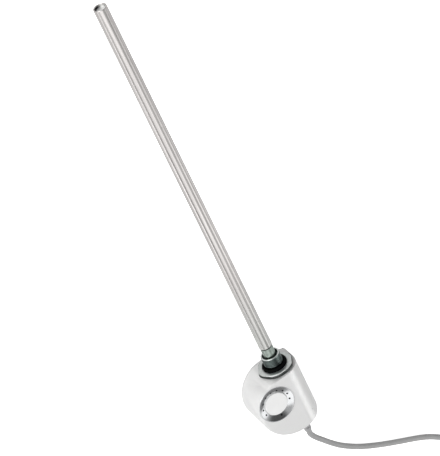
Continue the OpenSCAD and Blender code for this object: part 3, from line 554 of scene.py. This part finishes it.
def pipe_plug_piece():
    """The plug as one grid, with the radii and heights of its rows."""
    hex_y, hex_radius = hexagon_rows()
    thread_y, thread_radius = thread_rows()
    groove = np.array([
        (SEAT_R + SEAT_EDGE, 0), (SEAT_R, -SEAT_EDGE), (SEAT_R, SEAT_Y), (UNDERCUT_R, SEAT_Y),
        (UNDERCUT_R, THREAD_LOW - UNDERCUT_RISE)], float)
    rim_to_neck = np.array(
        arc((THREAD_R - NIPPLE_EDGE, THREAD_HIGH), NIPPLE_EDGE, 0, 90, 7)
        + [(RECESS_R + RECESS_EDGE, NIPPLE_TOP), (RECESS_R, NIPPLE_TOP - RECESS_EDGE),
           (RECESS_R, RECESS_Y), (SPIGOT_R, RECESS_Y), (SPIGOT_R, plug_high),
           (PLUG_BORE_R, plug_high), (PLUG_BORE_R, plug_low), (NECK_R - NECK_CHAMFER, plug_low),
           (NECK_R, plug_low + NECK_CHAMFER), (NECK_R, -HEX_T)], float)
    round_rows = [np.broadcast_to(rows[:, :1], (len(rows), AROUND_PLUG))
                  for rows in (groove, rim_to_neck)]
    radius = np.vstack([hex_radius, round_rows[0], thread_radius, round_rows[1]])
    height = np.concatenate([hex_y, groove[:, 1], thread_y, rim_to_neck[:, 1]])
    a = np.radians(turn)
    points = np.stack([radius * np.cos(a), np.broadcast_to(height[:, None], radius.shape),
                       -radius * np.sin(a)], -1)
    piece = mesh_piece("pipe_plug_turned", points.reshape(-1, 3) * MM,
                       grid_faces(len(height), AROUND_PLUG, True, True), sharp_angle=24)
    return piece, radius, height


plug, plug_radius, plug_height = pipe_plug_piece()
replace_solid(plug, "pipe_plug", "element")
print("pipe plug", round(plug_high - plug_low, 1), "mm long, of", len(plug.data.polygons), "faces")

# %% [markdown]
# ## Building materials from nodes
# A finish is a small network: patterns worked out from the place on the surface feed the colour,
# the roughness and the bump of one shader. A few helpers keep the networks short to write: one
# places a node, the others do arithmetic, read the place on the piece, or start a group.

# %% Node helpers
def place(tree, kind, inputs=None, **settings):
    """One node: settings are its properties, inputs its sockets, each a value or a socket."""
    made = tree.nodes.new(kind)
    for key, value in settings.items():
        setattr(made, key, value)
    for key, value in (inputs or {}).items():
        if isinstance(value, bpy.types.NodeSocket):
            tree.links.new(value, made.inputs[key])
        else:
            made.inputs[key].default_value = value
    return made


def calc(tree, operation, a, b=0.0):
    """The result socket of a sum, product or other operation on two values or sockets."""
    return place(tree, "ShaderNodeMath", {0: a, 1: b}, operation=operation).outputs[0]


def vector_calc(tree, operation, inputs, output=0):
    """The result socket of one operation on vectors."""
    return place(tree, "ShaderNodeVectorMath", inputs, operation=operation).outputs[output]


def ranged(tree, value, span, target=(0.0, 1.0), **settings):
    """A value carried from one range on to another, and held at the ends of it."""
    return place(tree, "ShaderNodeMapRange",
                 {"Value": value, "From Min": span[0], "From Max": span[1],
                  "To Min": target[0], "To Max": target[1]}, **settings).outputs[0]


def blended(tree, factor, low, high):
    """low where the factor is 0, high where it is 1."""
    return place(tree, "ShaderNodeMix", {"Factor": factor, 2: low, 3: high}).outputs[0]


print("five helpers place nodes and do arithmetic")

# %% Place on a piece, and groups
def on_piece(tree):
    """The place on the piece, in its own metres."""
    return place(tree, "ShaderNodeTexCoord").outputs["Object"]


def new_group(name, inputs, outputs):
    """A node group with float or vector inputs (name: default) and outputs (name: type)."""
    tree = bpy.data.node_groups.new(name, "ShaderNodeTree")
    for key, value in inputs.items():
        kind = "NodeSocketVector" if isinstance(value, tuple) else "NodeSocketFloat"
        tree.interface.new_socket(key, in_out="INPUT", socket_type=kind).default_value = value
    for key, kind in outputs.items():
        tree.interface.new_socket(key, in_out="OUTPUT", socket_type=kind)
    return tree, tree.nodes.new("NodeGroupInput").outputs, tree.nodes.new("NodeGroupOutput")


def use_group(tree, group, **inputs):
    """A group placed in a material, its inputs set or linked."""
    return place(tree, "ShaderNodeGroup", inputs, node_tree=group)


print("three more read the place and start or use a group")

# %% [markdown]
# ## Patterns that several finishes share
# Real surfaces are never quite even. Each pattern below could be drawn in every material again, but
# as a node group it is built once. *mottle* is soft unevenness, *fine bump* the texture of a mould
# or a blasted face, *draw marks* the lengthwise lines of a drawn tube, and *turned marks* the fine
# rings that a lathe leaves round an axis.

# %% Mottle and fine bump
mottle, given, result = new_group("mottle", {"Scale": 60.0, "Low": 0.9, "High": 1.1},
                                  {"Value": "NodeSocketFloat"})
cloud = place(mottle, "ShaderNodeTexNoise", {"Vector": on_piece(mottle), "Scale": given["Scale"],
                                             "Detail": 4.0, "Roughness": 0.6}).outputs["Fac"]
spread = ranged(mottle, cloud, (0.3, 0.7), (given["Low"], given["High"]))
mottle.links.new(spread, result.inputs["Value"])

fine_bump, given, result = new_group("fine_bump", {"Scale": 3000.0, "Depth": 0.00002},
                                     {"Normal": "NodeSocketVector"})
grain = place(fine_bump, "ShaderNodeTexNoise", {"Vector": on_piece(fine_bump),
                                                "Scale": given["Scale"], "Detail": 2.0})
raised = place(fine_bump, "ShaderNodeBump", {"Height": grain.outputs["Fac"],
                                             "Distance": given["Depth"]})
fine_bump.links.new(raised.outputs[0], result.inputs["Normal"])
print("groups:", [g.name for g in bpy.data.node_groups])

# %% Draw marks
BROAD_SHARE = 0.18
draw_marks, given, result = new_group("draw_marks", {"Lines": 14.0, "Stretch": 1.5},
                                      {"Broad": "NodeSocketFloat", "Fine": "NodeSocketFloat"})
where = on_piece(draw_marks)
level = vector_calc(draw_marks, "MULTIPLY", {0: where, 1: (1, 0, 1)})
round_it = vector_calc(draw_marks, "NORMALIZE", {0: level})
along = vector_calc(draw_marks, "MULTIPLY", {0: where, 1: (0, 1, 0)})
along = vector_calc(draw_marks, "SCALE", {0: along, "Scale": given["Stretch"]})
lines = vector_calc(draw_marks, "ADD", {0: round_it, 1: along})
for name, factor in (("Broad", BROAD_SHARE), ("Fine", 1.0)):
    density = calc(draw_marks, "MULTIPLY", given["Lines"], factor)
    noise = place(draw_marks, "ShaderNodeTexNoise",
                  {"Vector": lines, "Scale": density, "Detail": 3.0})
    draw_marks.links.new(noise.outputs["Fac"], result.inputs[name])
print("draw marks from", len(draw_marks.nodes), "nodes")

# %% Turned marks
turned_marks, given, result = new_group(
    "turned_marks", {"Centre": (0.0, 0.0, 0.0), "Across": (1.0, 0.0, 1.0), "Rings": 4000.0},
    {"Value": "NodeSocketFloat"})
offset = vector_calc(turned_marks, "SUBTRACT", {0: on_piece(turned_marks), 1: given["Centre"]})
offset = vector_calc(turned_marks, "MULTIPLY", {0: offset, 1: given["Across"]})
radius = vector_calc(turned_marks, "LENGTH", {0: offset}, "Value")
rings = place(turned_marks, "ShaderNodeTexNoise",
              {"W": calc(turned_marks, "MULTIPLY", radius, given["Rings"]), "Scale": 1.0,
               "Detail": 2.0}, noise_dimensions="1D")
turned_marks.links.new(rings.outputs["Fac"], result.inputs["Value"])
print("turned marks from", len(turned_marks.nodes), "nodes")

# %% [markdown]
# ## The finishes
# One function makes each kind of surface: moulded plastic, rubber, powder, turned metal and drawn
# tube. A painted image could carry the same marks, but needs unwrapping; patterns that read the
# place on the piece need none. Colours are those of the real materials, apart from painted shade
# on the collar and on the cup's wall; the light does the rest.

# %% Start a material
def new_finish(name, roughness, metallic=0.0, **sockets):
    """A material with one shader whose constant values sit on the shader's own sockets."""
    made = bpy.data.materials.new(name)
    made.use_nodes = True
    shader = made.node_tree.nodes["Principled BSDF"]
    shader.inputs["Roughness"].default_value = roughness
    shader.inputs["Metallic"].default_value = metallic
    for key, value in sockets.items():
        shader.inputs[key.replace("_", " ")].default_value = value
    return made, made.node_tree, shader


def tinted(tree, colour, amount):
    """A colour, as three numbers or as a socket, times a pattern's value."""
    return vector_calc(tree, "SCALE", {0: colour, "Scale": amount})


def gloss_from(tree, shader, marks, roughness, sway):
    """Lets the marks sway the roughness about its middle value."""
    tree.links.new(calc(tree, "ADD", calc(tree, "MULTIPLY", marks, sway), roughness - sway / 2),
                   shader.inputs["Roughness"])


def bump_from(tree, shader, marks, depth, strength):
    """Lets the marks raise the surface by a depth in metres."""
    bump = place(tree, "ShaderNodeBump", {"Height": marks, "Distance": depth, "Strength": strength})
    tree.links.new(bump.outputs[0], shader.inputs["Normal"])


print("every finish starts from one shader")

# %% Plastic, rubber and powder
GLOSS_LESS, GLOSS_MORE = 0.04, 0.05


def moulded(name, colour, roughness, grain=2600.0, depth=0.000012, uneven=0.025, **sockets):
    """Moulded plastic: even colour with a little drift, and the fine texture of the mould."""
    made, tree, shader = new_finish(name, roughness, **sockets)
    drift = use_group(tree, mottle, Scale=45.0, Low=1 - uneven, High=1 + uneven).outputs[0]
    gloss = use_group(tree, mottle, Scale=160.0, Low=roughness - GLOSS_LESS,
                      High=roughness + GLOSS_MORE)
    skin = use_group(tree, fine_bump, Scale=grain, Depth=depth)
    tree.links.new(tinted(tree, colour, drift), shader.inputs["Base Color"])
    tree.links.new(gloss.outputs[0], shader.inputs["Roughness"])
    tree.links.new(skin.outputs[0], shader.inputs["Normal"])
    return made


def elastic(name, colour, roughness, grain=1500.0, depth=0.00003, **sockets):
    """Rubber or soft sheath: dull, with a slightly rough skin that scatters light."""
    return moulded(name, colour, roughness, grain, depth, uneven=0.06, **sockets)


def chalky(name, colour, grain=900.0):
    """Fired or pressed powder: no gloss, and a coarse matt grain."""
    return moulded(name, colour, 0.85, grain, 0.00006, uneven=0.08)


print("plastics drift by 2.5 per cent, rubber by 6 and powder by 8")

# %% Turned metal
# share of the colour left where the turned finish lays its painted shade
PAINTED_SHADE_TONE = 0.05
TURNED_SWAY, TURNED_DEPTH, TURNED_BUMP = 0.16, 0.00001, 0.5


def turned(name, colour, roughness, centre=(0.0, 0.0, 0.0), across=(1.0, 0.0, 1.0), contrast=0.12,
           rings=5000.0, painted_shade=None, **sockets):
    """Lathe-turned metal: fine rings round the centre vary its colour, its gloss and its bump.

    A painted shade, where one is given, is an axis and two places on it in metres: painted dark,
    then full colour. It darkens the colour in place of a shadow."""
    made, tree, shader = new_finish(name, roughness, 1.0, **sockets)
    marks = use_group(tree, turned_marks, Centre=centre, Across=across, Rings=rings).outputs[0]
    drift = use_group(tree, mottle, Scale=220.0, Low=1 - contrast, High=1 + contrast).outputs[0]
    ring_tint = calc(tree, "ADD", calc(tree, "MULTIPLY", marks, 2 * contrast), 1 - contrast)
    amount = calc(tree, "MULTIPLY", drift, ring_tint)
    # painted shade: the colour is darkened towards one end of an axis, in place of a shadow
    if painted_shade:
        axis, dark_at, clear_at = painted_shade
        reach = place(tree, "ShaderNodeSeparateXYZ", {0: on_piece(tree)}).outputs[axis]
        clear = ranged(tree, reach, (dark_at, clear_at), (PAINTED_SHADE_TONE, 1.0))
        amount = calc(tree, "MULTIPLY", amount, clear)
    tree.links.new(tinted(tree, colour, amount), shader.inputs["Base Color"])
    gloss_from(tree, shader, marks, roughness, TURNED_SWAY)
    bump_from(tree, shader, marks, TURNED_DEPTH, TURNED_BUMP)
    return made


print("a fade leaves", PAINTED_SHADE_TONE, "of the colour")

# %% Drawn tube
FOOT_TONE_FROM, FOOT_TONE_TO = 0.03, 0.12
DRAWN_SWAY, DRAWN_DEPTH, DRAWN_BUMP = 0.14, 0.00003, 0.4


def drawn(name, colour, foot_colour, roughness):
    """Drawn steel tube: lengthwise lines, broad and fine, and a cooler tone towards its foot."""
    made, tree, shader = new_finish(name, roughness, 1.0)
    marks = use_group(tree, draw_marks, Lines=16.0, Stretch=1.2)
    broad = ranged(tree, marks.outputs["Broad"], (0.40, 0.60), (0.84, 1.08))
    fine = ranged(tree, marks.outputs["Fine"], (0.3, 0.7), (0.9, 1.08))
    height = place(tree, "ShaderNodeSeparateXYZ", {0: on_piece(tree)}).outputs["Y"]
    above_foot = ranged(tree, height, (FOOT_TONE_FROM, FOOT_TONE_TO))
    base = place(tree, "ShaderNodeMix",
                 {"Factor": above_foot, 6: (*foot_colour, 1), 7: (*colour, 1)},
                 data_type="RGBA").outputs[2]
    tree.links.new(tinted(tree, base, calc(tree, "MULTIPLY", broad, fine)),
                   shader.inputs["Base Color"])
    gloss_from(tree, shader, marks.outputs["Fine"], roughness, DRAWN_SWAY)
    bump_from(tree, shader, marks.outputs["Fine"], DRAWN_DEPTH, DRAWN_BUMP)
    return made


print("the tube's tone changes from", FOOT_TONE_FROM, "to", FOOT_TONE_TO, "m above the seat")

# %% [markdown]
# ## One finish for each slot
# Every slot that the record names gets a finish. Four more are for faces that differ within one
# piece: the sides and the thread of the plug, and the floor and the wall of the cup. The collar has
# a painted shadow where it goes under the rod. The cup's wall is a darker copy of the cup's steel,
# which is painted shade, and darker still on the side that the light doesn't reach.

# %% Finishes
# painted shadow on the collar just below the rod's foot, where the rod shades it
COLLAR_PAINTED_SHADOW = ("Y", (foot - 0.7) * MM, (foot - 1.5) * MM)
# painted shade on the cup's wall, darkest on its -X side, away from the light
CUP_WALL_PAINTED_SHADE = ("X", -0.001, 0.003)
dial_middle = (*np.array(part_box("dial_ring")).mean(axis=0)[:2].tolist(), 0.0)
finishes = {
    "sheath_steel": drawn("sheath_steel", (0.76, 0.73, 0.715), (0.77, 0.775, 0.75), 0.24),
    # the collar carries a painted shadow below the rod's foot
    "crimp_steel": turned("crimp_steel", (0.40, 0.46, 0.42), 0.34, painted_shade=COLLAR_PAINTED_SHADOW),
    "plug_steel": turned("plug_steel", (0.80, 0.83, 0.815), 0.36),
    "oring_rubber": elastic("oring_rubber", (0.002, 0.0025, 0.0025), 0.6, Specular_IOR_Level=0.04),
    "washer_plastic": moulded("washer_plastic", (0.05, 0.05, 0.05), 0.6),
    "spring_steel": turned("spring_steel", (0.62, 0.63, 0.64), 0.30),
    "magnesia": chalky("magnesia", (0.92, 0.90, 0.86)),
    "former_ceramic": chalky("former_ceramic", (0.90, 0.88, 0.83)),
    "resistance_wire": turned("resistance_wire", (0.45, 0.42, 0.40), 0.5),
    "pin_steel": turned("pin_steel", (0.66, 0.64, 0.58), 0.35),
    "seal_silicone": elastic("seal_silicone", (0.66, 0.24, 0.16), 0.6),
    "white_shell": moulded("white_shell", (0.78, 0.78, 0.775), 0.33, depth=0.000004,
                           Specular_IOR_Level=0.9),
    "gasket_rubber": elastic("gasket_rubber", (0.28, 0.29, 0.30), 0.7),
    "bush_plastic": moulded("bush_plastic", (0.10, 0.10, 0.11), 0.5),
    "board_laminate": moulded("board_laminate", (0.10, 0.26, 0.14), 0.4),
    "relay_plastic": moulded("relay_plastic", (0.08, 0.16, 0.36), 0.4),
    "capacitor_sleeve": moulded("capacitor_sleeve", (0.08, 0.08, 0.10), 0.35),
    "terminal_plastic": moulded("terminal_plastic", (0.12, 0.40, 0.22), 0.45),
    "fuse_ceramic": chalky("fuse_ceramic", (0.84, 0.80, 0.68)),
    "dial_silver": turned("dial_silver", (0.74, 0.75, 0.76), 0.15, centre=dial_middle,
                          across=(1.0, 1.0, 0.0), contrast=0.03, rings=9000.0),
    "guide_plastic": moulded("guide_plastic", (0.008, 0.008, 0.009), 0.3, Specular_IOR_Level=0.15),
    "lamp_resin": moulded("lamp_resin", (0.86, 0.84, 0.66), 0.2),
    "switch_plastic": moulded("switch_plastic", (0.08, 0.08, 0.09), 0.5),
    "button_white": moulded("button_white", (0.91, 0.91, 0.905), 0.42),
    "clamp_plastic": moulded("clamp_plastic", (0.80, 0.80, 0.79), 0.5),
    "cord_sheath": elastic("cord_sheath", (0.37, 0.37, 0.37), 0.5),
    "relief_rubber": elastic("relief_rubber", (0.40, 0.40, 0.405), 0.55),
    "tie_plastic": moulded("tie_plastic", (0.05, 0.05, 0.05), 0.45),
    "contact_metal": turned("contact_metal", (0.76, 0.75, 0.72), 0.2),
    "plug_flats": turned("plug_flats", (0.075, 0.08, 0.078), 0.5, contrast=0.3, rings=900.0),
    "cup_floor": turned("cup_floor", (0.92, 0.92, 0.91), 0.5, contrast=0.05),
    # the cup's wall: a darker copy of the cup's steel, as painted shade
    "cup_wall_painted_shade": turned("cup_wall_painted_shade", (0.62, 0.62, 0.61), 0.45, painted_shade=CUP_WALL_PAINTED_SHADE),
    "plug_thread": turned("plug_thread", (0.11, 0.135, 0.13), 0.32, contrast=0.2),
}
print(len(finishes), "finishes")

# %% [markdown]
# ## Dressing the pieces
# Each solid takes the finish of its slot, and each new piece the one of the solid it stands for.
# Faces with another finish could be picked by hand in the viewport. The grids make that needless,
# because their faces follow row by row: so the hexagon's sides and the thread are made darker
# than the faces that were turned last.

# %% Dress the pieces
FLATS, THREAD = 1, 2
FLATS_END, FLATS_INNER_R, RIM_HEIGHT, GROOVE_LAP = -0.9, 15, 0.45, 1
# rows of the cup's outline: 1 marks the wall, which takes the painted-shade finish
CUP_ROWS = [0, 0, 0, 1, 1, 0, 0]


def dress(piece, slot_name, *more):
    """Gives the whole piece one finish, and adds more to it for single faces."""
    if not piece.material_slots:
        piece.data.materials.append(None)
    for material_slot in piece.material_slots:
        material_slot.material = finishes[slot_name]
    for extra in more:
        piece.data.materials.append(finishes[extra])


for part in frame["record"]["subparts"]:
    dress(frame["nodes"][part["node"]], part["material_slot"])
for piece, slot_name in ((cord, "cord_sheath"), (rod, "sheath_steel"), (ring, "dial_silver"),
                         (button, "button_white"), (lamps, "guide_plastic"),
                         (shell, "white_shell")):
    dress(piece, slot_name)
dress(plug, "plug_steel", "plug_flats", "plug_thread")
dress(end_cup, "cup_floor", "cup_wall_painted_shade")

row_r = plug_radius.max(axis=1)
middle_r = (row_r + np.roll(row_r, -1)) / 2
middle_y = (plug_height + np.roll(plug_height, -1)) / 2
zone = np.zeros(len(plug_height), int)
zone[(middle_y < FLATS_END) & (middle_r > FLATS_INNER_R)] = FLATS
zone[(middle_y > SEAT_Y) & (middle_y < NIPPLE_TOP - RIM_HEIGHT)
     & (middle_r < SEAT_R - GROOVE_LAP)] = THREAD
plug.data.polygons.foreach_set("material_index", np.repeat(zone, plug_radius.shape[1]))
end_cup.data.polygons.foreach_set("material_index", np.repeat(CUP_ROWS, CUP_AROUND))

# %% [markdown]
# ## The floor
# A pale sheet takes the soft shadow. A sheet lit hard enough to look white would also light the
# piece from below. So it glows, but only for the camera, and ends in white.

# %% Floor
FLOOR_SIZE, FLOOR_DROP, FLOOR_TONE = 8, 0.0002, 0.78
GLOW_SEEN, GLOW_UNSEEN = 0.85, 0.0


def plane(name, size, middle):
    """A flat square of the given size in metres."""
    half = size / 2
    corners = [(-half, -half, 0), (half, -half, 0), (half, half, 0), (-half, half, 0)]
    mesh = bpy.data.meshes.new(name)
    mesh.from_pydata([tuple(np.add(c, middle)) for c in corners], [], [(0, 1, 2, 3)])
    piece = bpy.data.objects.new(name, mesh)
    bpy.context.scene.collection.objects.link(piece)
    return piece


floor = plane("floor", FLOOR_SIZE, (0, 0, solids_box[0][2] - FLOOR_DROP))
paint, tree, shader = new_finish("floor_paint", 0.9, Specular_IOR_Level=0.1)
shader.inputs["Base Color"].default_value = (*[FLOOR_TONE] * 3, 1)
shader.inputs["Emission Color"].default_value = (1, 1, 1, 1)
seen = place(tree, "ShaderNodeLightPath").outputs["Is Camera Ray"]
tree.links.new(blended(tree, seen, GLOW_UNSEEN, GLOW_SEEN), shader.inputs["Emission Strength"])
floor.data.materials.append(paint)
print("floor at", round(solids_box[0][2], 4), "m")

# %% [markdown]
# ## The surround
# Metal shows only what it mirrors. So the even surround carries round patches, some brighter and
# some darker than the rest: they draw the lengthwise streaks on the rod and the bright and dark
# sectors of the dial. A studio picture could be wrapped round instead, but patches given by
# direction, width and brightness can be moved one at a time. A later patch lies over the ones
# before it. The camera itself sees plain white past the floor.

# %% Surround
SURROUND, SEEN_WHITE = 0.45, 1.0
# direction, half width in degrees where the patch is full, where it ends, and its brightness
patches = [
    ((-0.80, 0.40, 0.40), 25, 55, 1.3),
    ((-0.33, -0.53, 0.79), 16, 25, 1.25),
    ((0.40, 0.12, 0.90), 18, 32, 0.09),
    ((0.25, -0.91, 0.32), 22, 33, 0.22),
    ((0.26, -0.58, 0.77), 6, 11, 0.70),
    ((0.60, -0.56, 0.57), 10, 15, 1.2),
    ((0.90, -0.42, 0.05), 12, 24, 0.75),
    ((-0.84, -0.53, 0.08), 9, 14, 1.55),
    ((-0.75, -0.56, 0.36), 6, 11, 0.30),
]
world = bpy.data.worlds.new("studio")
bpy.context.scene.world = world
world.use_nodes = True
sky = world.node_tree
background = sky.nodes["Background"]
outward = place(sky, "ShaderNodeTexCoord").outputs["Generated"]
tone = SURROUND
for direction, full, ends, brightness in patches:
    aim = np.array(direction) / np.linalg.norm(direction)
    facing = vector_calc(sky, "DOT_PRODUCT", {0: outward, 1: tuple(aim.tolist())}, "Value")
    inside = ranged(sky, facing, (math.cos(math.radians(ends)), math.cos(math.radians(full))),
                    interpolation_type="SMOOTHSTEP")
    tone = blended(sky, inside, tone, brightness)
seen = place(sky, "ShaderNodeLightPath").outputs["Is Camera Ray"]
background.inputs["Color"].default_value = (1, 1, 1, 1)
sky.links.new(blended(sky, seen, tone, SEEN_WHITE), background.inputs["Strength"])
print(len(patches), "patches in the surround")

# %% [markdown]
# ## The lamps
# Two large square lamps light the shell from both sides; large ones give soft shadows. The second
# one would also show as a glaring stripe on the polished metal. Moving it would flatten the shell,
# so light linking keeps the metal pieces out of its light.

# %% Lamps
def lamp(name, position, aim, size, watts):
    """A square area lamp at a place, turned towards its aim."""
    data = bpy.data.lights.new(name, "AREA")
    data.size = size
    data.energy = watts
    piece = bpy.data.objects.new(name, data)
    piece.location = position
    piece.rotation_euler = (Vector(aim) - Vector(position)).to_track_quat("-Z", "Y").to_euler()
    bpy.context.scene.collection.objects.link(piece)
    return piece


lamp("left_lamp", (-1.9, 1.5, 1.2), (0, 0, 0), size=1.4, watts=22)
strip = lamp("strip_lamp", (1.88, -1.68, 1.62), (0, 0, 0), size=1.5, watts=25)
unlit = bpy.data.collections.new("not_lit_by_strip")
for piece in (rod, ring, lamps, end_cup, frame["nodes"]["crimp_collar"]):
    unlit.objects.link(piece)
strip.light_linking.receiver_collection = unlit
for member in unlit.collection_objects:
    member.light_linking.link_state = "EXCLUDE"
bpy.context.scene.view_settings.view_transform = "Standard"
